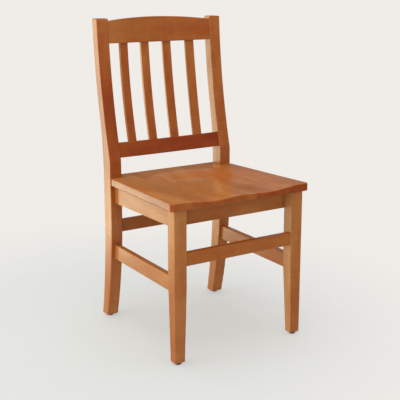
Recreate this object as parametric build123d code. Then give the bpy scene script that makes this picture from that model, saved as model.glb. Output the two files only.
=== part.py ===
from build123d import *
import math
import os

# A wooden side chair: bent back posts, a bowed slatted back, a saddled seat and a box of stretchers.
# Millimetres, +Z up. The chair faces -Y, and left is the left of someone who looks at its front (-X).
# The model is laid out with y = 0 at the front of the front legs, and is centred on its own box at the end.

# Frame
leg_span = 422.0            # across the outer faces of the legs, and of the posts
frame_depth = 366.0         # front of the front legs to the front of the posts at the seat
edge_round = 2.0            # eased edges of legs, posts and stretchers
end_chamfer = 1.5           # round the feet and the tops of the posts

# Front legs: the inner and rear faces taper towards the foot
leg_width = 37.5
leg_depth = 36.0
leg_foot_width = 31.0
leg_foot_depth = 26.0
taper_height = 220.0        # floor to the top of the taper

# Back posts: the foot kicks back, the seat part is upright, the back sweeps away on one large arc
post_width = 36.5
post_depth = 45.0
post_top_depth = 32.0
post_foot_depth = 32.5
post_height = 904.0
kick_height = 340.0         # floor to the top of the kick
kick_back = 44.0            # how far the front of the foot stands behind the upright part
knee_height = 497.0
knee_lean = 15.0            # degrees, at the knee
sweep_radius = 2000.0
knee_radius = 60.0
rear_knee_radius = 900.0

# Crest rail and lower rail: both bowed in plan, and leaning with the sweep
rail_setback = 5.0          # behind the front of the posts
rail_thickness = 20.0
rail_chamfer = 1.5
back_bow = 28.0             # middle of a rail behind its ends
lower_rail_bottom = 505.0
lower_rail_height = 45.0
crest_drop = 71.0           # top of the posts to the crest's lower edge
crest_end_height = 64.0
crest_arch = 12.0           # middle of the crest above its ends

# Slats
slat_count = 4
slat_spacing = 76.0
slat_width = 28.0
slat_thickness = 10.0
slat_socket = 14.0
slat_round = 1.5

# Seat: a glued-up slab with two thigh hollows, a low pommel between them and a bowl behind
seat_height = 455.0         # floor to the front rim
seat_slope = 1.3            # degrees, down to the back
seat_front_width = 450.0
seat_rear_width = 418.0     # at the front of the posts
seat_overhang = 9.5         # before the front legs
seat_thickness = 22.5
seat_corner_radius = 9.0
seat_edge_round = 3.0
seat_board_count = 5
seat_rim = 25.0             # level band along each side of the bowl
hollow_spread = 88.0        # middle of the seat to the middle of a thigh hollow
front_hollow_depth = 8.0
bowl_depth = 12.0
pommel_rise = 4.2
pommel_length = 190.0       # front edge to where the pommel has run out
bowl_place = 185.0          # front edge to the deepest line of the bowl

# Aprons
apron_thickness = 18.0
apron_height = 52.0
side_apron_inset = 12.5     # behind the outer faces of the legs
rear_apron_setback = 3.0    # behind the front of the posts

# Stretchers
stretcher_thickness = 17.0
cross_stretcher_bottom = 275.5
cross_stretcher_height = 37.0
front_stretcher_setback = 3.3
side_stretcher_bottom = 197.5
side_stretcher_height = 44.0
side_stretcher_inset = 11.5

# Round-ended tenons
tenon_length = 20.0
tenon_thickness = 9.0
tenon_shoulder = 6.0        # above and below a tenon
tenon_root = 4.0            # how far a tenon reaches back into its own rail

# Dowels in the apron joints
dowel_diameter = 8.0
side_dowel_length = 36.0
cross_dowel_length = 24.0
side_dowel_spread = 9.0     # above and below the middle of the apron
cross_dowel_spread = 19.0

# Corner blocks and their screws
block_leg = 48.0
block_clip = 14.0
block_height = 28.0
block_screw_place = 30.0    # from the corner, along each apron
seat_screw_place = 16.0     # from the corner, along both aprons
screw_diameter = 4.0
screw_head_diameter = 8.0
screw_head_height = 3.0
screw_bite = 12.0           # thread in the apron or in the seat
block_screw_wall = 10.0     # block left under the head
seat_screw_wall = 20.0

# Glides, each on a nail
glide_diameter = 18.0
glide_height = 6.0
glide_round = 1.5
nail_diameter = 2.4
nail_head_diameter = 8.0
nail_head_height = 1.2
nail_head_cover = 2.4       # glide under the nail's head
nail_bite = 16.0            # nail in the foot

# Fits
glue_gap = 0.1              # round a tenon, slat or dowel
end_gap = 1.0               # beyond its end
seat_fit = 0.3              # seat to posts
screw_gap = 0.25

# Derived places
half_span = leg_span / 2
crest_bottom = post_height - crest_drop
leg_inner = half_span - leg_width
post_inner = half_span - post_width
side_apron_outer = half_span - side_apron_inset
side_apron_inner = side_apron_outer - apron_thickness
front_apron_rear = leg_depth + apron_thickness
rear_apron_front = frame_depth + rear_apron_setback
post_rear = frame_depth + post_depth
sweep_centre_y = frame_depth - sweep_radius * math.cos(math.radians(knee_lean))
sweep_centre_z = knee_height + sweep_radius * math.sin(math.radians(knee_lean))
bow_radius = (post_inner ** 2 + back_bow ** 2) / (2 * back_bow)
seat_depth = seat_overhang + post_rear
seat_plane = Plane(
    origin=(0, -seat_overhang, seat_height),
    x_dir=(1, 0, 0),
    z_dir=(0, math.sin(math.radians(seat_slope)), math.cos(math.radians(seat_slope))),
)
under_seat_plane = seat_plane.offset(-seat_thickness)


def under_seat(y):
    """Height of the seat's underside at a depth."""
    origin = under_seat_plane.origin
    return origin.Z - (y - origin.Y) * math.tan(math.radians(seat_slope))


def below_seat(solid):
    """The part of a solid that lies under the seat."""
    return split(solid, bisect_by=under_seat_plane, keep=Keep.BOTTOM)


def mirrored(solid):
    """The same piece on the other side of the chair."""
    return mirror(solid, about=Plane.YZ)


def profile_solid(outline, width):
    """Extrudes a closed (y, z) outline to both sides of x = 0."""
    return extrude(Plane.YZ * make_face(outline), amount=width / 2, both=True)


# Back sweep: points on arcs about one centre, at an angle below the horizontal through it
def sweep_angle(height):
    """Lean of the back at a height, in radians."""
    return math.asin((sweep_centre_z - height) / sweep_radius)


def sweep_point(angle, offset=0.0):
    """Point (y, z) behind the front of the posts by an offset."""
    radius = sweep_radius + offset
    return (sweep_centre_y + radius * math.cos(angle), sweep_centre_z - radius * math.sin(angle))


def sweep_at_height(height, offset=0.0):
    """Point (y, z) of an offset arc at a height."""
    radius = sweep_radius + offset
    return (sweep_centre_y + math.sqrt(radius ** 2 - (sweep_centre_z - height) ** 2), height)


def post_blank():
    """The right post before it is mortised."""
    kick_front = (frame_depth, kick_height)
    kick_rear = (post_rear, kick_height)
    foot_front = (frame_depth + kick_back, glide_height)
    foot_rear = (frame_depth + kick_back + post_foot_depth, glide_height)
    knee = (frame_depth, knee_height)
    top_front = sweep_at_height(post_height)
    top_rear = sweep_at_height(post_height, post_top_depth)
    rear_radius = sweep_radius + post_top_depth
    rear_knee = (post_rear, sweep_centre_z - math.sqrt(rear_radius ** 2 - (post_rear - sweep_centre_y) ** 2))
    middle = (post_height + knee_height) / 2
    outline = [
        TangentArc(kick_front, foot_front, tangent=(0, -1)),
        Line(foot_front, foot_rear),
        TangentArc(kick_rear, foot_rear, tangent=(0, -1)),
        Line(kick_rear, rear_knee),
        ThreePointArc(rear_knee, sweep_at_height(middle, post_top_depth), top_rear),
        Line(top_rear, top_front),
        ThreePointArc(top_front, sweep_at_height(middle), knee),
        Line(knee, kick_front),
    ]
    face = make_face(outline)
    for corner, radius in ((rear_knee, rear_knee_radius), (knee, knee_radius)):
        face = fillet(face.vertices().sort_by_distance((*corner, 0))[0], radius)
    blank = extrude(Plane.YZ * face, amount=post_width)
    long_edges = [e for e in blank.edges() if abs(e.tangent_at(0.5).Z) > 0.9]
    blank = fillet(long_edges, edge_round)
    ends = blank.faces().sort_by(Axis.Z)
    blank = chamfer(ends[0].edges() + ends[-1].edges(), end_chamfer)
    return Pos(post_inner, 0, 0) * blank


def leg_blank():
    """The right front leg before it is mortised: full section above, tapered on two faces below."""
    corner = (Align.MAX, Align.MIN)
    foot = RectangleRounded(leg_foot_width, leg_foot_depth, edge_round, align=corner)
    full = Pos(half_span, 0, taper_height) * RectangleRounded(leg_width, leg_depth, edge_round, align=corner)
    lower = loft([Pos(half_span, 0, glide_height) * foot, full], ruled=True)
    lower = chamfer(lower.faces().sort_by(Axis.Z)[0].edges(), end_chamfer)
    upper = extrude(full, amount=seat_height - taper_height)
    return below_seat(lower + upper)


def slot_prism(height, thickness, length):
    """A round-ended bar along +X, upright in section."""
    section = Plane.YZ * (Rot(0, 0, 90) * SlotOverall(height, thickness))
    return extrude(section, amount=length)


# Rails of the back
def rail_plane(bottom, height):
    """Plane at the middle of a rail's ends: x across, y away from the sitter, z up along the lean."""
    angle = sweep_angle(bottom + height / 2)
    y, z = sweep_point(angle, rail_setback)
    return Plane(origin=(0, y, z), x_dir=(1, 0, 0), z_dir=(0, math.sin(angle), math.cos(angle)))


def bow_at(x, offset=0.0):
    """How far a rail's front, or a surface behind it, stands behind the line of its ends."""
    return back_bow - bow_radius + math.sqrt((bow_radius + offset) ** 2 - x ** 2)


rail_end_rear = bow_at(post_inner, rail_thickness)
tenon_height_loss = 2 * tenon_shoulder


def bowed_rail(height, arch):
    """A rail in its own plane, with a straight bottom and an arched top, trimmed between the posts."""
    spare = 10.0
    half = post_inner + spare
    end_front = bow_at(half)
    end_rear = bow_at(half, rail_thickness)
    plan = make_face([
        ThreePointArc((-half, end_front), (0, back_bow), (half, end_front)),
        Line((half, end_front), (half, end_rear)),
        ThreePointArc((half, end_rear), (0, back_bow + rail_thickness), (-half, end_rear)),
        Line((-half, end_rear), (-half, end_front)),
    ])
    band = Pos(0, 0, -height / 2) * extrude(plan, amount=height + arch)
    if arch:
        arch_radius = (post_inner ** 2 + arch ** 2) / (2 * arch)
        end_top = height / 2 + arch - arch_radius + math.sqrt(arch_radius ** 2 - half ** 2)
        outline = make_face([
            Polyline((-half, end_top), (-half, -height / 2), (half, -height / 2), (half, end_top)),
            ThreePointArc((half, end_top), (0, height / 2 + arch), (-half, end_top)),
        ])
        band = band & extrude(Plane.XZ * outline, amount=seat_depth, both=True)
    edges = [e for e in band.edges() if e.length > half]
    between_posts = Box(2 * post_inner, seat_depth, 2 * (height + arch))
    return chamfer(edges, rail_chamfer) & between_posts


def rail_tenons(height, grow=0.0):
    """Both tenons of a rail in its own plane; grow makes the mortises' cutters."""
    bar = slot_prism(
        height - tenon_height_loss + 2 * grow,
        tenon_thickness + 2 * grow,
        tenon_root + tenon_length + (end_gap if grow else 0),
    )
    right = Pos(post_inner - tenon_root, rail_end_rear / 2, 0) * bar
    return right + mirrored(right)


def slat(index, grow=0.0):
    """A slat on the sweep, turned to face along the bow; grow makes the sockets' cutters."""
    x = (index - (slat_count - 1) / 2) * slat_spacing
    half_rail = rail_thickness / 2
    radius_offset = rail_setback + bow_at(x, half_rail)
    radius = sweep_radius + radius_offset
    reach = slat_socket + (end_gap if grow else 0)
    low = sweep_angle(lower_rail_bottom + lower_rail_height / 2) - (lower_rail_height / 2 - reach) / radius
    high = sweep_angle(crest_bottom + crest_end_height / 2) + (crest_end_height / 2 - reach) / radius
    middle = (low + high) / 2
    front = radius_offset - slat_thickness / 2 - grow
    rear = radius_offset + slat_thickness / 2 + grow
    outline = [
        ThreePointArc(sweep_point(low, front), sweep_point(middle, front), sweep_point(high, front)),
        Line(sweep_point(high, front), sweep_point(high, rear)),
        ThreePointArc(sweep_point(high, rear), sweep_point(middle, rear), sweep_point(low, rear)),
        Line(sweep_point(low, rear), sweep_point(low, front)),
    ]
    solid = profile_solid(outline, slat_width + 2 * grow)
    if not grow:
        solid = fillet([e for e in solid.edges() if e.length > slat_width * 2], slat_round)
    foot = sweep_point(low, radius_offset)
    head = sweep_point(high, radius_offset)
    chord = Axis((0, *foot), (0, head[0] - foot[0], head[1] - foot[1]))
    turn = -math.degrees(math.asin(x / (bow_radius + half_rail)))
    return Pos(x, 0, 0) * solid.rotate(chord, turn)


# Seat
def ease(value):
    """Smooth step from 1 at 0 to 0 at 1."""
    return 0.5 + 0.5 * math.cos(math.pi * min(max(value, 0.0), 1.0))


def saddle_depth(across, back):
    """How deep the seat is hollowed at a distance from its middle line and from its front edge.

    Two hollows run in from the front edge and join in a bowl that is round in plan behind its deepest line.
    """
    narrowing = (seat_front_width - seat_rear_width) / 2 / (seat_overhang + frame_depth)
    half_width = seat_front_width / 2 - narrowing * min(back, bowl_place)
    depth = bowl_depth - (bowl_depth - front_hollow_depth) * ease(back / bowl_place)
    reach = math.hypot(across, max(back - bowl_place, 0.0))
    wall = ease((reach - hollow_spread) / (half_width - seat_rim - hollow_spread))
    pommel = pommel_rise * ease(back / pommel_length) * ease(abs(across) / hollow_spread)
    return depth * wall - pommel


def seat_section(back, half_width):
    """Section of the slab across the chair, at a distance behind its front edge."""
    steps = 20
    top = []
    for step in range(steps + 1):
        across = half_width * (1 - 2 * step / steps)
        top.append((across, -saddle_depth(across, back)))
    section = make_face([
        Polyline(top[-1], (-half_width, -seat_thickness), (half_width, -seat_thickness), top[0]),
        Spline(*top),
    ])
    return seat_plane * (Pos(0, back, 0) * (Plane.XZ * section))


def seat_slab():
    """The whole slab: saddled top, trimmed to its plan and notched round the posts."""
    spare = 40.0
    stations = 20
    half_width = seat_front_width / 2 + spare
    length = seat_depth + 2 * spare
    blank = loft([seat_section(-spare + length * i / stations, half_width) for i in range(stations + 1)])
    front = -seat_overhang
    rear = post_rear
    rear_half = seat_rear_width / 2
    plan = make_face(Polyline(
        (-seat_front_width / 2, front),
        (seat_front_width / 2, front),
        (rear_half, frame_depth - seat_fit),
        (post_inner - seat_fit, frame_depth - seat_fit),
        (post_inner - seat_fit, rear),
        (seat_fit - post_inner, rear),
        (seat_fit - post_inner, frame_depth - seat_fit),
        (-rear_half, frame_depth - seat_fit),
        close=True,
    ))
    plan = fillet(plan.vertices().group_by(Axis.Y)[0], seat_corner_radius)
    slab = blank & extrude(plan, amount=seat_height + spare)
    rim = [e for e in slab.edges() if abs(e.tangent_at(0.5).Z) < 0.7 and e.center().Y < frame_depth - 1]
    return fillet(rim, seat_edge_round)


def seat_boards(slab):
    """The slab's boards, side by side from left to right."""
    width = seat_front_width / seat_board_count
    boards = []
    for index in range(seat_board_count):
        middle = (index + 0.5) * width - seat_front_width / 2
        strip = Box(width, 2 * seat_depth, seat_height)
        boards.append(slab & Pos(middle, frame_depth / 2, seat_height) * strip)
    return boards


# Aprons
def side_apron():
    """Right apron: follows the seat's slope, upright ends against leg and post."""
    outline = Polyline(
        (leg_depth, under_seat(leg_depth)),
        (frame_depth, under_seat(frame_depth)),
        (frame_depth, under_seat(frame_depth) - apron_height),
        (leg_depth, under_seat(leg_depth) - apron_height),
        close=True,
    )
    return Pos(side_apron_outer - apron_thickness / 2, 0, 0) * profile_solid(outline, apron_thickness)


def cross_apron(front, length):
    """An apron across the chair, its top bevelled to the seat's slope."""
    rear = front + apron_thickness
    bottom = under_seat(front + apron_thickness / 2) - apron_height
    outline = Polyline(
        (front, under_seat(front)),
        (rear, under_seat(rear)),
        (rear, bottom),
        (front, bottom),
        close=True,
    )
    return profile_solid(outline, length)


def rod(diameter, start, direction, length):
    """A plain round rod."""
    plane = Plane(origin=start, z_dir=direction)
    return extrude(plane * Circle(diameter / 2), amount=length)


def right_dowels(grow=0.0):
    """Dowels of the right half of the apron frame; grow makes their holes."""
    diameter = dowel_diameter + 2 * grow
    spare = end_gap if grow else 0.0
    side_length = side_dowel_length + 2 * spare
    cross_length = cross_dowel_length + 2 * spare
    side_x = side_apron_outer - apron_thickness / 2
    dowels = []
    for joint in (leg_depth, frame_depth):
        middle = under_seat(joint) - apron_height / 2
        for lift in (-side_dowel_spread, side_dowel_spread):
            start = (side_x, joint - side_length / 2, middle + lift)
            dowels.append(rod(diameter, start, (0, 1, 0), side_length))
    for y, joint in ((leg_depth, side_apron_inner), (rear_apron_front, post_inner)):
        apron_y = y + apron_thickness / 2
        middle = under_seat(apron_y) - apron_height / 2
        for lift in (-cross_dowel_spread, cross_dowel_spread):
            start = (joint - cross_length / 2, apron_y, middle + lift)
            dowels.append(rod(diameter, start, (1, 0, 0), cross_length))
    return dowels


# Corner blocks: (corner y, direction from the corner into the frame)
block_corners = {"front": (front_apron_rear, 1), "rear": (rear_apron_front, -1)}


def corner_block(place):
    """Right block at the front or the rear: a triangle with its corner clipped."""
    corner, inward = block_corners[place]
    plan = make_face(Polyline(
        (side_apron_inner - block_leg, corner),
        (side_apron_inner - block_clip, corner),
        (side_apron_inner, corner + inward * block_clip),
        (side_apron_inner, corner + inward * block_leg),
        close=True,
    ))
    bottom = under_seat(corner + inward * seat_screw_place) - block_height
    return below_seat(Pos(0, 0, bottom) * extrude(plan, amount=2 * block_height, dir=(0, 0, 1)))


def screw(start, direction, wall, grow=0.0):
    """A screw from the underside of its head; grow makes its hole and an open pocket for the head."""
    start = Vector(*start)
    direction = Vector(*direction)
    head_length = block_leg if grow else screw_head_height
    shank = rod(screw_diameter + 2 * grow, start, direction, wall + screw_bite + grow)
    head = rod(screw_head_diameter + 4 * grow, start, -direction, head_length)
    return shank + head


def block_screws(place, grow=0.0):
    """Two screws of a right block, one into each apron."""
    corner, inward = block_corners[place]
    height = under_seat(corner + inward * seat_screw_place) - block_height / 2
    along = (
        (side_apron_inner - block_screw_place, corner + inward * block_screw_wall, height),
        (0, -inward, 0),
    )
    aside = (
        (side_apron_inner - block_screw_wall, corner + inward * block_screw_place, height),
        (1, 0, 0),
    )
    return [screw(start, way, block_screw_wall, grow) for start, way in (along, aside)]


def seat_screw(place, grow=0.0):
    """The screw that goes up through a right block into the seat."""
    corner, inward = block_corners[place]
    y = corner + inward * seat_screw_place
    start = (side_apron_inner - seat_screw_place, y, under_seat(y) - seat_screw_wall)
    return screw(start, (0, 0, 1), seat_screw_wall, grow)


# Stretchers
def cross_stretcher(middle_y, half_length):
    """A stretcher across the chair with a tenon at each end."""
    middle_z = cross_stretcher_bottom + cross_stretcher_height / 2
    bar = Box(2 * half_length, stretcher_thickness, cross_stretcher_height)
    bar = fillet(bar.edges().filter_by(Axis.X), edge_round)
    tenons = cross_tenons(half_length)
    return Pos(0, middle_y, middle_z) * (bar + tenons)


def cross_tenons(half_length, grow=0.0):
    """Both tenons of a cross stretcher about its own middle."""
    bar = slot_prism(
        cross_stretcher_height - tenon_height_loss + 2 * grow,
        tenon_thickness + 2 * grow,
        tenon_root + tenon_length + (end_gap if grow else 0),
    )
    right = Pos(half_length - tenon_root, 0, 0) * bar
    return right + mirrored(right)


def kick_at(height):
    """How far the post's front stands behind its upright part at a height."""
    rise = kick_height - glide_height
    radius = (rise ** 2 + kick_back ** 2) / (2 * kick_back)
    return radius - math.sqrt(radius ** 2 - (kick_height - height) ** 2)


side_stretcher_x = half_span - side_stretcher_inset - stretcher_thickness / 2
side_stretcher_z = side_stretcher_bottom + side_stretcher_height / 2
side_post_front = frame_depth + kick_at(side_stretcher_z)
cross_stretcher_z = cross_stretcher_bottom + cross_stretcher_height / 2
front_stretcher_y = front_stretcher_setback + stretcher_thickness / 2
rear_stretcher_y = frame_depth + kick_at(cross_stretcher_z) + post_depth / 2


def side_tenons(grow=0.0):
    """Tenons of the right side stretcher, where they are in the chair."""
    spare = end_gap if grow else 0.0
    front_end = leg_depth - tenon_length - spare
    rear_end = side_post_front + tenon_length + spare
    bar = slot_prism(
        side_stretcher_height - tenon_height_loss + 2 * grow,
        tenon_thickness + 2 * grow,
        rear_end - front_end,
    )
    return Pos(side_stretcher_x, front_end, side_stretcher_z) * (Rot(0, 0, 90) * bar)


def side_stretcher(leg, post):
    """Right side stretcher: its shoulders are scribed to the tapered leg and the curved post."""
    start = leg_depth / 2
    end = frame_depth + post_depth / 2
    bar = Box(stretcher_thickness, end - start, side_stretcher_height)
    bar = fillet(bar.edges().filter_by(Axis.Y), edge_round)
    bar = Pos(side_stretcher_x, (start + end) / 2, side_stretcher_z) * bar - leg - post
    bar = bar.solids().sort_by(SortBy.VOLUME)[-1]
    return bar + side_tenons()


# Glides
def glide_nail(x, y, grow=0.0):
    """A nail, head down, from inside its glide up into the foot."""
    up = (0, 0, 1)
    head_start = (x, y, nail_head_cover - grow)
    head = rod(nail_head_diameter + 2 * grow, head_start, up, nail_head_height + 2 * grow)
    length = glide_height - nail_head_cover + nail_bite + (end_gap if grow else 0)
    shank = rod(nail_diameter + 2 * grow, (x, y, nail_head_cover), up, length)
    return head + shank


def glide(x, y):
    """A moulded foot with its nail's head cast in."""
    disc = rod(glide_diameter, (x, y, 0), (0, 0, 1), glide_height)
    disc = fillet(disc.faces().sort_by(Axis.Z)[0].edges(), glide_round)
    return disc - glide_nail(x, y, glue_gap)


front_foot = (half_span - leg_foot_width / 2, leg_foot_depth / 2)
rear_foot = (post_inner + post_width / 2, frame_depth + kick_back + post_foot_depth / 2)

# Parts of the right half are built in place, and most are mirrored
parts = {}


def add_pair(name, solid):
    """Puts a right-hand piece and its mirror image among the parts."""
    parts[name.format("right")] = solid
    parts[name.format("left")] = mirrored(solid)


leg = leg_blank()
post = post_blank()
lower_plane = rail_plane(lower_rail_bottom, lower_rail_height)
crest_plane = rail_plane(crest_bottom, crest_end_height)
dowel_holes = right_dowels(glue_gap)
side_mortises = side_tenons(glue_gap)

leg_cuts = [side_mortises, glide_nail(*front_foot, glue_gap), *dowel_holes]
leg_cuts.append(Pos(0, front_stretcher_y, cross_stretcher_z) * cross_tenons(leg_inner, glue_gap))
add_pair("front_leg_{}", leg - leg_cuts)

post_cuts = [side_mortises, glide_nail(*rear_foot, glue_gap), *dowel_holes]
post_cuts.append(Pos(0, rear_stretcher_y, cross_stretcher_z) * cross_tenons(post_inner, glue_gap))
post_cuts.append(lower_plane * rail_tenons(lower_rail_height, glue_gap))
post_cuts.append(crest_plane * rail_tenons(crest_end_height, glue_gap))
add_pair("back_post_{}", post - post_cuts)

sockets = [slat(index, glue_gap) for index in range(slat_count)]
lower_rail = lower_plane * (bowed_rail(lower_rail_height, 0) + rail_tenons(lower_rail_height))
crest = crest_plane * (bowed_rail(crest_end_height, crest_arch) + rail_tenons(crest_end_height))
parts["lower_back_rail"] = lower_rail - sockets
parts["crest_rail"] = crest - sockets
for index in range(slat_count):
    parts[f"back_slat_{index + 1}"] = slat(index)

seat_holes = [seat_screw(place, screw_gap) for place in block_corners]
seat_holes += [mirrored(hole) for hole in seat_holes]
for index, board in enumerate(seat_boards(seat_slab())):
    parts[f"seat_board_{index + 1}"] = board - seat_holes

cross_dowel_holes = dowel_holes + [mirrored(hole) for hole in dowel_holes]
block_holes = [hole for place in block_corners for hole in block_screws(place, screw_gap)]
cross_block_holes = block_holes + [mirrored(hole) for hole in block_holes]
add_pair("{}_apron", side_apron() - dowel_holes - block_holes)
front_apron = cross_apron(leg_depth, 2 * side_apron_inner)
rear_apron = cross_apron(rear_apron_front, 2 * post_inner)
parts["front_apron"] = front_apron - cross_dowel_holes - cross_block_holes
parts["rear_apron"] = rear_apron - cross_dowel_holes - cross_block_holes

for place in block_corners:
    block = corner_block(place) - block_holes - [seat_screw(place, screw_gap)]
    add_pair(f"corner_block_{place}_{{}}", block)

add_pair("{}_stretcher", side_stretcher(leg, post))
parts["front_stretcher"] = cross_stretcher(front_stretcher_y, leg_inner)
parts["rear_stretcher"] = cross_stretcher(rear_stretcher_y, post_inner)

add_pair("glide_front_{}", glide(*front_foot))
add_pair("glide_rear_{}", glide(*rear_foot))


def both_sides(solids):
    """A group of loose solids and their mirror images."""
    return Compound([*solids, *[mirrored(solid) for solid in solids]])


parts["apron_dowels"] = both_sides(right_dowels())
parts["block_screws"] = both_sides([one for place in block_corners for one in block_screws(place)])
parts["seat_screws"] = both_sides([seat_screw(place) for place in block_corners])
parts["glide_nails"] = both_sides([glide_nail(*front_foot), glide_nail(*rear_foot)])

# The origin is on the floor under the middle of the chair's box
boxes = [shape.bounding_box() for shape in parts.values()]
front_edge = min(box.min.Y for box in boxes)
rear_edge = max(box.max.Y for box in boxes)
to_origin = Pos(0, -(front_edge + rear_edge) / 2, 0)
os.makedirs("parts", exist_ok=True)
for name, shape in parts.items():
    export_step(to_origin * shape, f"parts/{name}.step")
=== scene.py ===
import math

import bmesh
import bpy
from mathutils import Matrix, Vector


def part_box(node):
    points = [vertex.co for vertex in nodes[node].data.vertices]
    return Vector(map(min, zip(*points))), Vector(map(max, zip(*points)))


# A stained and lacquered wooden side chair on a pale studio floor. Metres, in the frame of the CAD model.

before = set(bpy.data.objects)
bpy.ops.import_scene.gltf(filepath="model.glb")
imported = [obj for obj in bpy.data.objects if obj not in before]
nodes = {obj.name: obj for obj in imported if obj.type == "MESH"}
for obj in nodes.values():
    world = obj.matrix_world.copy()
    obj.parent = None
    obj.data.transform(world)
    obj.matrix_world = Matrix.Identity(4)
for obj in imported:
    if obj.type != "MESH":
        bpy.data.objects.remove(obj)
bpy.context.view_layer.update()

# Kinds of sockets on node groups
VECTOR = "NodeSocketVector"
VALUE = "NodeSocketFloat"
# Places of the colour sockets on a Mix node
MIX_FACTOR = 0
MIX_FIRST = 6
MIX_SECOND = 7
MIX_RESULT = 2
# The range in which most of a noise lies
NOISE_LOW = 0.3
NOISE_HIGH = 0.7


# Small helpers for node trees
def add(tree, kind, **settings):
    """A new node with its own settings."""
    made = tree.nodes.new(kind)
    for name, value in settings.items():
        setattr(made, name, value)
    return made


def wire(tree, source, target):
    """Joins an output socket to an input socket."""
    tree.links.new(source, target)


def maths(tree, operation, first, second):
    """A Math node; each operand is a socket or a plain number."""
    made = add(tree, "ShaderNodeMath", operation=operation)
    for slot, operand in enumerate((first, second)):
        if isinstance(operand, (int, float)):
            made.inputs[slot].default_value = operand
        else:
            wire(tree, operand, made.inputs[slot])
    return made.outputs[0]


def vector_sum(tree, first, second):
    """The sum of two vector sockets."""
    made = add(tree, "ShaderNodeVectorMath", operation="ADD")
    wire(tree, first, made.inputs[0])
    wire(tree, second, made.inputs[1])
    return made.outputs[0]


def remap(tree, value, low, high, new_low=0.0, new_high=1.0):
    """A clamped Map Range of a value socket."""
    made = add(tree, "ShaderNodeMapRange", clamp=True)
    wire(tree, value, made.inputs["Value"])
    made.inputs["From Min"].default_value = low
    made.inputs["From Max"].default_value = high
    made.inputs["To Min"].default_value = new_low
    made.inputs["To Max"].default_value = new_high
    return made.outputs["Result"]


def over_noise(tree, noise, low, high):
    """A value that goes from low to high over most of a noise."""
    return remap(tree, noise, NOISE_LOW, NOISE_HIGH, low, high)


def over_mask(tree, mask, low, high):
    """A value that goes from low where a mask is empty to high where it is full."""
    return remap(tree, mask, 0.0, 1.0, low, high)


def stretched_noise(tree, vector, scale, detail, roughness):
    """Noise on coordinates that are scaled apart per axis."""
    mapping = add(tree, "ShaderNodeMapping")
    mapping.inputs["Scale"].default_value = scale
    wire(tree, vector, mapping.inputs["Vector"])
    noise = add(tree, "ShaderNodeTexNoise")
    noise.inputs["Scale"].default_value = 1.0
    noise.inputs["Detail"].default_value = detail
    noise.inputs["Roughness"].default_value = roughness
    wire(tree, mapping.outputs["Vector"], noise.inputs["Vector"])
    return noise.outputs["Fac"]


def blend_colour(tree, factor, first, second):
    """Two colours mixed; factor and colours are sockets or plain values."""
    made = add(tree, "ShaderNodeMix", data_type="RGBA", blend_type="MIX")
    for slot, operand in ((MIX_FACTOR, factor), (MIX_FIRST, first), (MIX_SECOND, second)):
        if isinstance(operand, (int, float, tuple)):
            made.inputs[slot].default_value = operand
        else:
            wire(tree, operand, made.inputs[slot])
    return made.outputs[MIX_RESULT]


def new_group(name, inputs, outputs):
    """An empty shader node group with named sockets."""
    group = bpy.data.node_groups.new(name, "ShaderNodeTree")
    for socket, kind in inputs:
        group.interface.new_socket(socket, in_out="INPUT", socket_type=kind)
    for socket, kind in outputs:
        group.interface.new_socket(socket, in_out="OUTPUT", socket_type=kind)
    return group, add(group, "NodeGroupInput"), add(group, "NodeGroupOutput")


def new_finish(name):
    """A new material, its node tree and its shader."""
    material = bpy.data.materials.new(name)
    material.use_nodes = True
    tree = material.node_tree
    return material, tree, tree.nodes["Principled BSDF"]


def emboss(tree, shader, height, strength, depth):
    """A fine relief on a finish."""
    relief = add(tree, "ShaderNodeBump")
    relief.inputs["Strength"].default_value = strength
    relief.inputs["Distance"].default_value = depth
    wire(tree, height, relief.inputs["Height"])
    wire(tree, relief.outputs["Normal"], shader.inputs["Normal"])


# Figure of the hardwood: the step from board to board, and scales across the grain (X and Y) and along it (Z)
BOARD_STEP = (0.713, 0.417, 1.931)
SWAY_SCALE = (9.0, 9.0, 1.6)
SWAY_X = 0.045
SWAY_Y = 0.03
RING_SCALE = 34.0
RING_DISTORTION = 1.6
RING_DETAIL = 2.0
RING_DETAIL_SCALE = 0.4
LATE_WOOD_START = 0.45
FIBRE_SCALE = (520.0, 520.0, 9.0)
PORE_SCALE = (1500.0, 1500.0, 160.0)
PORE_START = 0.64
PORE_FULL = 0.76
BLOTCH_SCALE = (26.0, 26.0, 8.0)
CURL_SCALE = (14.0, 14.0, 75.0)
# How squarely a face looks along an axis where its mask starts and where it is full
FACING_START = 0.45
FACING_FULL = 0.95


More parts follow.
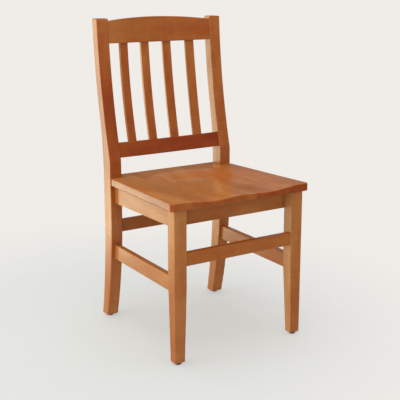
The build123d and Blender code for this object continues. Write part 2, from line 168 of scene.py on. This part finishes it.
def hardwood_figure():
    """Close-grained hardwood with the grain along Z: rings, fibres, pores, blotches and a cross figure."""
    group, given, made = new_group(
        "hardwood_figure",
        [("Position", VECTOR), ("Board", VALUE)],
        [("Rings", VALUE), ("Fibres", VALUE), ("Pores", VALUE), ("Blotches", VALUE), ("Curl", VALUE)],
    )
    shift = add(group, "ShaderNodeVectorMath", operation="SCALE")
    shift.inputs[0].default_value = BOARD_STEP
    wire(group, given.outputs["Board"], shift.inputs["Scale"])
    place = vector_sum(group, given.outputs["Position"], shift.outputs[0])

    sway = stretched_noise(group, place, SWAY_SCALE, detail=3.0, roughness=0.5)
    lean = add(group, "ShaderNodeCombineXYZ")
    wire(group, maths(group, "MULTIPLY", sway, SWAY_X), lean.inputs["X"])
    wire(group, maths(group, "MULTIPLY", sway, SWAY_Y), lean.inputs["Y"])
    rings = add(group, "ShaderNodeTexWave", wave_type="RINGS", rings_direction="Z", wave_profile="SAW")
    rings.inputs["Scale"].default_value = RING_SCALE
    rings.inputs["Distortion"].default_value = RING_DISTORTION
    rings.inputs["Detail"].default_value = RING_DETAIL
    rings.inputs["Detail Scale"].default_value = RING_DETAIL_SCALE
    wire(group, vector_sum(group, place, lean.outputs[0]), rings.inputs["Vector"])

    pore_noise = stretched_noise(group, place, PORE_SCALE, detail=1.0, roughness=0.4)
    results = {
        "Rings": remap(group, rings.outputs["Fac"], LATE_WOOD_START, 1.0),
        "Fibres": stretched_noise(group, place, FIBRE_SCALE, detail=4.0, roughness=0.6),
        "Pores": remap(group, pore_noise, PORE_START, PORE_FULL),
        "Blotches": stretched_noise(group, place, BLOTCH_SCALE, detail=3.0, roughness=0.55),
        "Curl": stretched_noise(group, place, CURL_SCALE, detail=2.0, roughness=0.5),
    }
    for name, socket in results.items():
        wire(group, socket, made.inputs[name])
    return group


def sawn_faces():
    """Masks of the ends, which cut across the grain, and of the sides, which look along the side axis."""
    group, given, made = new_group(
        "sawn_faces",
        [("Normal", VECTOR), ("Grain", VECTOR), ("Side", VECTOR)],
        [("Ends", VALUE), ("Sides", VALUE)],
    )
    for way, mask in (("Grain", "Ends"), ("Side", "Sides")):
        facing = add(group, "ShaderNodeVectorMath", operation="DOT_PRODUCT")
        wire(group, given.outputs["Normal"], facing.inputs[0])
        wire(group, given.outputs[way], facing.inputs[1])
        along = maths(group, "ABSOLUTE", facing.outputs["Value"], 0.0)
        wire(group, remap(group, along, FACING_START, FACING_FULL), made.inputs[mask])
    return group


figure = hardwood_figure()
faces = sawn_faces()

# Each piece's grain runs along one axis and its sides look along another
GRAIN_WAY = {"x": (1.0, 0.0, 0.0), "y": (0.0, 1.0, 0.0), "z": (0.0, 0.0, 1.0)}
SIDE_WAY = {"x": (0.0, 0.0, 1.0), "y": (1.0, 0.0, 0.0), "z": (1.0, 0.0, 0.0)}
# The turn that brings the grain to Z
QUARTER_TURN = math.radians(90)
GRAIN_TURN = {"x": (0.0, QUARTER_TURN, 0.0), "y": (QUARTER_TURN, 0.0, 0.0), "z": (0.0, 0.0, 0.0)}


def wood_tree(name, grain, board):
    """A new wood finish: material, tree, shader, position, figure, and masks of its ends and sides."""
    material, tree, shader = new_finish(name)
    coordinates = add(tree, "ShaderNodeTexCoord")
    position = coordinates.outputs["Object"]
    turn = add(tree, "ShaderNodeMapping")
    turn.inputs["Rotation"].default_value = GRAIN_TURN[grain]
    wire(tree, position, turn.inputs["Vector"])
    wood = add(tree, "ShaderNodeGroup", node_tree=figure)
    wood.inputs["Board"].default_value = board
    wire(tree, turn.outputs["Vector"], wood.inputs["Position"])
    cut = add(tree, "ShaderNodeGroup", node_tree=faces)
    cut.inputs["Grain"].default_value = GRAIN_WAY[grain]
    cut.inputs["Side"].default_value = SIDE_WAY[grain]
    wire(tree, coordinates.outputs["Normal"], cut.inputs["Normal"])
    return material, tree, shader, position, wood.outputs, cut.outputs


def grain_colour(tree, wood, ring_share, fibre_share, early_wood, late_wood):
    """Early and late wood, mixed by the rings and broken up by the fibres."""
    rings = over_mask(tree, wood["Rings"], *ring_share)
    fibres = over_noise(tree, wood["Fibres"], *fibre_share)
    return blend_colour(tree, maths(tree, "ADD", rings, fibres), early_wood, late_wood)


def soaked_colour(tree, colour, stain_and_shade_thickness):
    """A stained colour where the stain lies thicker or thinner: a thicker stain is darker and redder. On the
    lacquered pieces the thickness also carries painted shade and light.
    """
    made = add(tree, "ShaderNodeGamma")
    wire(tree, colour, made.inputs["Color"])
    wire(tree, stain_and_shade_thickness, made.inputs["Gamma"])
    return made.outputs["Color"]


def along_board(tree, position, node, grain, stations):
    """A value that goes from one end of a board to the other through evenly spaced stations."""
    parts = add(tree, "ShaderNodeSeparateXYZ")
    wire(tree, position, parts.inputs[0])
    axis = "xyz".index(grain)
    low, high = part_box(node)
    step = (high[axis] - low[axis]) / (len(stations) - 1)
    value = stations[0]
    for number, (here, there) in enumerate(zip(stations, stations[1:])):
        start = low[axis] + number * step
        change = remap(tree, parts.outputs[axis], start, start + step, 0.0, there - here)
        value = maths(tree, "ADD", value, change)
    return value


# Stains, each with the colour of its pale early wood and of its darker late wood
RUSSET = ((0.425, 0.095, 0.013, 1.0), (0.335, 0.070, 0.009, 1.0))
CHESTNUT = ((0.455, 0.122, 0.019, 1.0), (0.360, 0.091, 0.013, 1.0))
HONEY = ((0.495, 0.151, 0.028, 1.0), (0.391, 0.114, 0.020, 1.0))
PORE_BROWN = (0.190, 0.052, 0.012, 1.0)
PORE_SHOW = 0.2
# Shares of late wood by rings and fibres, and factors on the stain's thickness
STAINED_RINGS = (0.28, 0.52)
STAINED_FIBRES = (-0.14, 0.14)
STAINED_BLOTCHES = (0.88, 1.12)
STAINED_CURL = (0.97, 1.03)
STAINED_ENDS = 1.3
# Satin lacquer over the stain
SATIN_ROUGHNESS = (0.25, 0.33)
LACQUER_IOR = 1.46
COAT_WEIGHT = 0.28
COAT_ROUGHNESS = 0.14
FIBRE_RELIEF = 0.4
PORE_RELIEF = -0.6


def lacquered_wood(node, grain, stain, board, coats_and_shade, side_stain_and_shade):
    """Stained hardwood under satin lacquer. The coats of stain along it and their share on the sides are
    partly stain and partly painted shade and light: thicker where a piece lies in shade, thinner where light
    falls on it.
    """
    material, tree, shader, position, wood, cut = wood_tree(node + "_wood", grain, board)
    body = grain_colour(tree, wood, STAINED_RINGS, STAINED_FIBRES, *stain)
    # Painted shade and light along the board: the coats change from end to end, partly as the stain's own
    # drift and partly as shade that falls on parts of the piece.
    stain_and_shade_thickness = along_board(tree, position, node, grain, coats_and_shade)
    stain_and_shade_soaks = (
        over_noise(tree, wood["Blotches"], *STAINED_BLOTCHES),
        over_noise(tree, wood["Curl"], *STAINED_CURL),
        over_mask(tree, cut["Ends"], 1.0, STAINED_ENDS),
        # Painted light and shade on the sides: a thinner or thicker stain makes the sides read lighter or
        # darker, partly as their own tone and partly for how the light falls on them.
        over_mask(tree, cut["Sides"], 1.0, side_stain_and_shade),
    )
    for stain_and_shade_soak in stain_and_shade_soaks:
        stain_and_shade_thickness = maths(tree, "MULTIPLY", stain_and_shade_thickness, stain_and_shade_soak)
    toned = soaked_colour(tree, body, stain_and_shade_thickness)
    pores = maths(tree, "MULTIPLY", wood["Pores"], PORE_SHOW)
    wire(tree, blend_colour(tree, pores, toned, PORE_BROWN), shader.inputs["Base Color"])

    wire(tree, over_noise(tree, wood["Blotches"], *SATIN_ROUGHNESS), shader.inputs["Roughness"])
    ridges = maths(tree, "MULTIPLY", wood["Fibres"], FIBRE_RELIEF)
    dents = maths(tree, "MULTIPLY", wood["Pores"], PORE_RELIEF)
    emboss(tree, shader, maths(tree, "ADD", ridges, dents), strength=0.06, depth=0.0002)
    shader.inputs["Coat Weight"].default_value = COAT_WEIGHT
    shader.inputs["Coat Roughness"].default_value = COAT_ROUGHNESS
    shader.inputs["IOR"].default_value = LACQUER_IOR
    return material


# Bare wood, each with the colour of its pale early wood and of its darker late wood
BLOCK_WOOD = ((0.520, 0.300, 0.140, 1.0), (0.400, 0.210, 0.090, 1.0))
DOWEL_WOOD = ((0.600, 0.420, 0.250, 1.0), (0.480, 0.310, 0.170, 1.0))
BARE_RINGS = (0.2, 0.6)
BARE_FIBRES = (-0.2, 0.2)
BARE_BLOTCHES = (0.92, 1.08)
BARE_ENDS = 1.25
BARE_ROUGHNESS = (0.62, 0.78)


def raw_wood(name, grain, board, wood_colours):
    """Sawn hardwood with no finish, for what is hidden under the seat."""
    material, tree, shader, _, wood, cut = wood_tree(name, grain, board)
    body = grain_colour(tree, wood, BARE_RINGS, BARE_FIBRES, *wood_colours)
    blotches = over_noise(tree, wood["Blotches"], *BARE_BLOTCHES)
    ends = over_mask(tree, cut["Ends"], 1.0, BARE_ENDS)
    toned = soaked_colour(tree, body, maths(tree, "MULTIPLY", blotches, ends))
    wire(tree, toned, shader.inputs["Base Color"])
    wire(tree, over_noise(tree, wood["Fibres"], *BARE_ROUGHNESS), shader.inputs["Roughness"])
    emboss(tree, shader, wood["Fibres"], strength=0.35, depth=0.0006)
    return material


# Black moulded plastic and zinc plating
SCUFF_SCALE = (260.0, 260.0, 260.0)
SCUFF_START = 0.45
SCUFF_FULL = 0.7
GLIDE_BLACK = (0.008, 0.007, 0.006, 1.0)
GLIDE_SCUFFED = (0.030, 0.027, 0.025, 1.0)
GLIDE_ROUGHNESS = (0.42, 0.62)
PLATING_SCALE = (700.0, 700.0, 700.0)
ZINC_DULL = (0.52, 0.51, 0.48, 1.0)
ZINC_BRIGHT = (0.66, 0.65, 0.62, 1.0)
ZINC_ROUGHNESS = (0.28, 0.42)


def moulded_black():
    """Black moulded plastic of the glides, a little scuffed."""
    material, tree, shader = new_finish("moulded_black")
    coordinates = add(tree, "ShaderNodeTexCoord")
    scuff = stretched_noise(tree, coordinates.outputs["Object"], SCUFF_SCALE, detail=4.0, roughness=0.6)
    scuffed = remap(tree, scuff, SCUFF_START, SCUFF_FULL)
    wire(tree, blend_colour(tree, scuffed, GLIDE_BLACK, GLIDE_SCUFFED), shader.inputs["Base Color"])
    wire(tree, over_noise(tree, scuff, *GLIDE_ROUGHNESS), shader.inputs["Roughness"])
    return material


def bright_zinc():
    """Zinc-plated steel of the screws and nails."""
    material, tree, shader = new_finish("bright_zinc")
    coordinates = add(tree, "ShaderNodeTexCoord")
    plating = stretched_noise(tree, coordinates.outputs["Object"], PLATING_SCALE, detail=3.0, roughness=0.6)
    wire(tree, blend_colour(tree, plating, ZINC_DULL, ZINC_BRIGHT), shader.inputs["Base Color"])
    wire(tree, over_noise(tree, plating, *ZINC_ROUGHNESS), shader.inputs["Roughness"])
    shader.inputs["Metallic"].default_value = 1.0
    return material


def dress(name, material):
    """Gives a CAD node its finish."""
    nodes[name].data.materials.clear()
    nodes[name].data.materials.append(material)


# Lacquered pieces: node, grain axis, stain, its coats from the low end to the high end, share on the sides.
# The coats and the side share are partly stain and partly painted shade and light: higher where a piece lies
# in shade, lower where light falls on it.
LACQUERED = (
    ("back_post_left", "z", RUSSET, (0.76, 0.80, 1.16, 0.80), 1.00),
    ("back_post_right", "z", CHESTNUT, (0.94, 0.95), 0.86),
    ("front_leg_left", "z", HONEY, (1.04, 0.80), 1.05),
    ("front_leg_right", "z", HONEY, (1.02, 0.88), 0.70),
    ("back_slat_1", "z", RUSSET, (0.97, 0.90), 0.66),
    ("back_slat_2", "z", RUSSET, (0.90, 0.86), 0.66),
    ("back_slat_3", "z", CHESTNUT, (1.02, 0.98), 0.66),
    ("back_slat_4", "z", CHESTNUT, (0.95, 0.99), 0.66),
    ("crest_rail", "x", CHESTNUT, (0.84, 0.97, 0.99), 0.95),
    ("lower_back_rail", "x", RUSSET, (1.04, 1.26), 0.95),
    ("front_apron", "x", HONEY, (1.02, 0.97, 0.90), 1.00),
    ("rear_apron", "x", HONEY, (1.01, 1.05), 1.00),
    ("front_stretcher", "x", CHESTNUT, (0.96, 0.95, 0.90), 1.10),
    ("rear_stretcher", "x", CHESTNUT, (0.94, 0.86), 1.00),
    ("left_apron", "y", HONEY, (1.00, 0.96, 1.04), 0.96),
    ("right_apron", "y", HONEY, (1.01, 1.01), 0.96),
    ("left_stretcher", "y", HONEY, (0.89, 0.89, 0.96), 1.00),
    ("right_stretcher", "y", HONEY, (0.96, 0.96), 1.00),
    ("seat_board_1", "y", HONEY, (0.86, 0.82), 1.60),
    ("seat_board_2", "y", HONEY, (0.94, 0.86), 1.00),
    ("seat_board_3", "y", HONEY, (0.90, 0.86), 1.00),
    ("seat_board_4", "y", HONEY, (1.03, 0.95), 1.00),
    ("seat_board_5", "y", HONEY, (1.05, 1.00), 1.05),
)
for board, (name, grain, stain, coats_and_shade, side_stain_and_shade) in enumerate(LACQUERED):
    dress(name, lacquered_wood(name, grain, stain, float(board), coats_and_shade, side_stain_and_shade))

# Unfinished pieces: node, grain axis, bare wood; their boards count on from the lacquered ones
UNFINISHED = (
    ("corner_block_front_left", "x", BLOCK_WOOD),
    ("corner_block_front_right", "x", BLOCK_WOOD),
    ("corner_block_rear_left", "x", BLOCK_WOOD),
    ("corner_block_rear_right", "x", BLOCK_WOOD),
    ("apron_dowels", "y", DOWEL_WOOD),
)
for board, (name, grain, wood_colours) in enumerate(UNFINISHED, len(LACQUERED)):
    dress(name, raw_wood(name + "_wood", grain, float(board), wood_colours))

glide_finish = moulded_black()
steel_finish = bright_zinc()
for corner in ("front_left", "front_right", "rear_left", "rear_right"):
    dress("glide_" + corner, glide_finish)
for name in ("block_screws", "seat_screws", "glide_nails"):
    dress(name, steel_finish)


# Studio: a floor that is half clear near its middle and wholly clear far from it
FLOOR_RADIUS = 8.0
FLOOR_SIDES = 96
FLOOR_PALE = (0.640, 0.685, 0.665, 1.0)
FLOOR_ROUGHNESS = 0.9
FLOOR_SPECULAR = 0.1
FLOOR_MIDDLE = (-0.22, 0.14, 0.0)
FLOOR_NEAR = 0.40
FLOOR_FAR = 1.20
FLOOR_CLEAR = 0.50


def floor_finish():
    """A pale floor, half clear for a light shadow, that melts into the backdrop and is clear from below."""
    material, tree, shader = new_finish("studio_floor")
    shader.inputs["Base Color"].default_value = FLOOR_PALE
    shader.inputs["Roughness"].default_value = FLOOR_ROUGHNESS
    shader.inputs["Specular IOR Level"].default_value = FLOOR_SPECULAR
    coordinates = add(tree, "ShaderNodeTexCoord")
    reach = add(tree, "ShaderNodeVectorMath", operation="DISTANCE")
    wire(tree, coordinates.outputs["Object"], reach.inputs[0])
    reach.inputs[1].default_value = FLOOR_MIDDLE
    away = add(tree, "ShaderNodeMapRange", interpolation_type="SMOOTHSTEP")
    wire(tree, reach.outputs["Value"], away.inputs["Value"])
    away.inputs["From Min"].default_value = FLOOR_NEAR
    away.inputs["From Max"].default_value = FLOOR_FAR
    away.inputs["To Min"].default_value = FLOOR_CLEAR
    side = add(tree, "ShaderNodeNewGeometry")
    clearness = maths(tree, "MAXIMUM", away.outputs["Result"], side.outputs["Backfacing"])
    clear = add(tree, "ShaderNodeBsdfTransparent")
    mix = add(tree, "ShaderNodeMixShader")
    wire(tree, clearness, mix.inputs[0])
    wire(tree, shader.outputs[0], mix.inputs[1])
    wire(tree, clear.outputs[0], mix.inputs[2])
    wire(tree, mix.outputs[0], tree.nodes["Material Output"].inputs["Surface"])
    return material


def studio_floor():
    """A wide round floor under the feet, facing up."""
    shape = bmesh.new()
    bmesh.ops.create_circle(shape, cap_ends=True, segments=FLOOR_SIDES, radius=FLOOR_RADIUS)
    mesh = bpy.data.meshes.new("studio_floor")
    shape.to_mesh(mesh)
    shape.free()
    mesh.materials.append(floor_finish())
    floor = bpy.data.objects.new("studio_floor", mesh)
    bpy.context.scene.collection.objects.link(floor)


# What the camera sees behind the chair, and the light and the reflections that come from all round
BACKDROP = (0.871, 0.839, 0.807, 1.0)
FILL_COLOUR = (0.97, 0.98, 1.0, 1.0)
FILL_LIGHT = 0.72
ROOM_DIM = 0.03
PANEL_GLOW = 0.40
# Where the edges of the mirrored panel start and end, as parts of a direction of length 1
PANEL_BEHIND = (0.2, 0.5)
PANEL_RIGHT = (0.68, 0.82)
PANEL_TOP = (0.45, 0.70)


def mirrored_room(tree):
    """The strength of what reflections show: a dim room with a paler panel behind on the right."""
    direction = add(tree, "ShaderNodeTexCoord")
    parts = add(tree, "ShaderNodeSeparateXYZ")
    wire(tree, direction.outputs["Generated"], parts.inputs[0])
    behind = remap(tree, parts.outputs["Y"], *PANEL_BEHIND)
    right = remap(tree, maths(tree, "ADD", parts.outputs["X"], parts.outputs["Z"]), *PANEL_RIGHT)
    below_top = remap(tree, parts.outputs["Z"], *PANEL_TOP, 1.0, 0.0)
    inside = maths(tree, "MULTIPLY", maths(tree, "MULTIPLY", behind, right), below_top)
    return over_mask(tree, inside, ROOM_DIM, PANEL_GLOW)


def studio_world():
    """A pale backdrop to the camera and through glass, the mirrored room in reflections, and a soft fill."""
    world = bpy.data.worlds.new("studio")
    bpy.context.scene.world = world
    world.use_nodes = True
    tree = world.node_tree
    tree.nodes.clear()
    path = add(tree, "ShaderNodeLightPath")
    direct = maths(tree, "MAXIMUM", path.outputs["Is Camera Ray"], path.outputs["Is Transmission Ray"])
    shown = maths(tree, "MAXIMUM", direct, path.outputs["Is Glossy Ray"])
    seen = add(tree, "ShaderNodeBackground")
    seen.inputs["Color"].default_value = BACKDROP
    wire(tree, maths(tree, "MAXIMUM", direct, mirrored_room(tree)), seen.inputs["Strength"])
    light = add(tree, "ShaderNodeBackground")
    light.inputs["Color"].default_value = FILL_COLOUR
    light.inputs["Strength"].default_value = FILL_LIGHT
    mix = add(tree, "ShaderNodeMixShader")
    wire(tree, shown, mix.inputs[0])
    wire(tree, light.outputs[0], mix.inputs[1])
    wire(tree, seen.outputs[0], mix.inputs[2])
    out = add(tree, "ShaderNodeOutputWorld")
    wire(tree, mix.outputs[0], out.inputs["Surface"])


def softbox(name, place, target, width, height, watts, colour, mirrored=True):
    """A rectangular area light aimed at a point; it can be kept out of the reflections."""
    data = bpy.data.lights.new(name, "AREA")
    data.shape = "RECTANGLE"
    data.size = width
    data.size_y = height
    data.energy = watts
    data.color = colour
    light = bpy.data.objects.new(name, data)
    light.location = place
    light.visible_glossy = mirrored
    light.rotation_euler = (Vector(target) - Vector(place)).to_track_quat("-Z", "Y").to_euler()
    bpy.context.scene.collection.objects.link(light)


studio_floor()
studio_world()
softbox(
    "window", place=(-1.22, 2.60, 0.15), target=(0.0, 0.2, 0.4),
    width=1.05, height=1.7, watts=17.5, colour=(0.95, 1.00, 0.71),
)
softbox(
    "side", place=(-4.0, 0.6, 1.1), target=(0.0, 0.0, 0.5),
    width=2.4, height=2.4, watts=70.0, colour=(1.0, 0.99, 0.93), mirrored=False,
)
softbox(
    "overhead", place=(-0.3, -0.3, 3.2), target=(0.0, 0.0, 0.3),
    width=3.0, height=3.0, watts=38.0, colour=(1.0, 1.0, 1.0),
)

# Camera at the photograph's viewing angle
EYE = (-1.2844, -2.0597, 1.0126)
YAW = math.radians(32.291)
PITCH = math.radians(13.223)
FOCAL_PIXELS = 851.2
FRAME_PIXELS = 400.0
SENSOR_WIDTH = 36.0
FRAME_SHIFT = -0.05

camera_data = bpy.data.cameras.new("camera")
camera_data.sensor_width = SENSOR_WIDTH
camera_data.lens = FOCAL_PIXELS / FRAME_PIXELS * SENSOR_WIDTH
camera_data.shift_y = FRAME_SHIFT
camera = bpy.data.objects.new("camera", camera_data)
camera.location = EYE
camera.rotation_euler = (QUARTER_TURN - PITCH, 0.0, -YAW)
bpy.context.scene.collection.objects.link(camera)
bpy.context.scene.camera = camera
bpy.context.scene.view_settings.view_transform = "Standard"
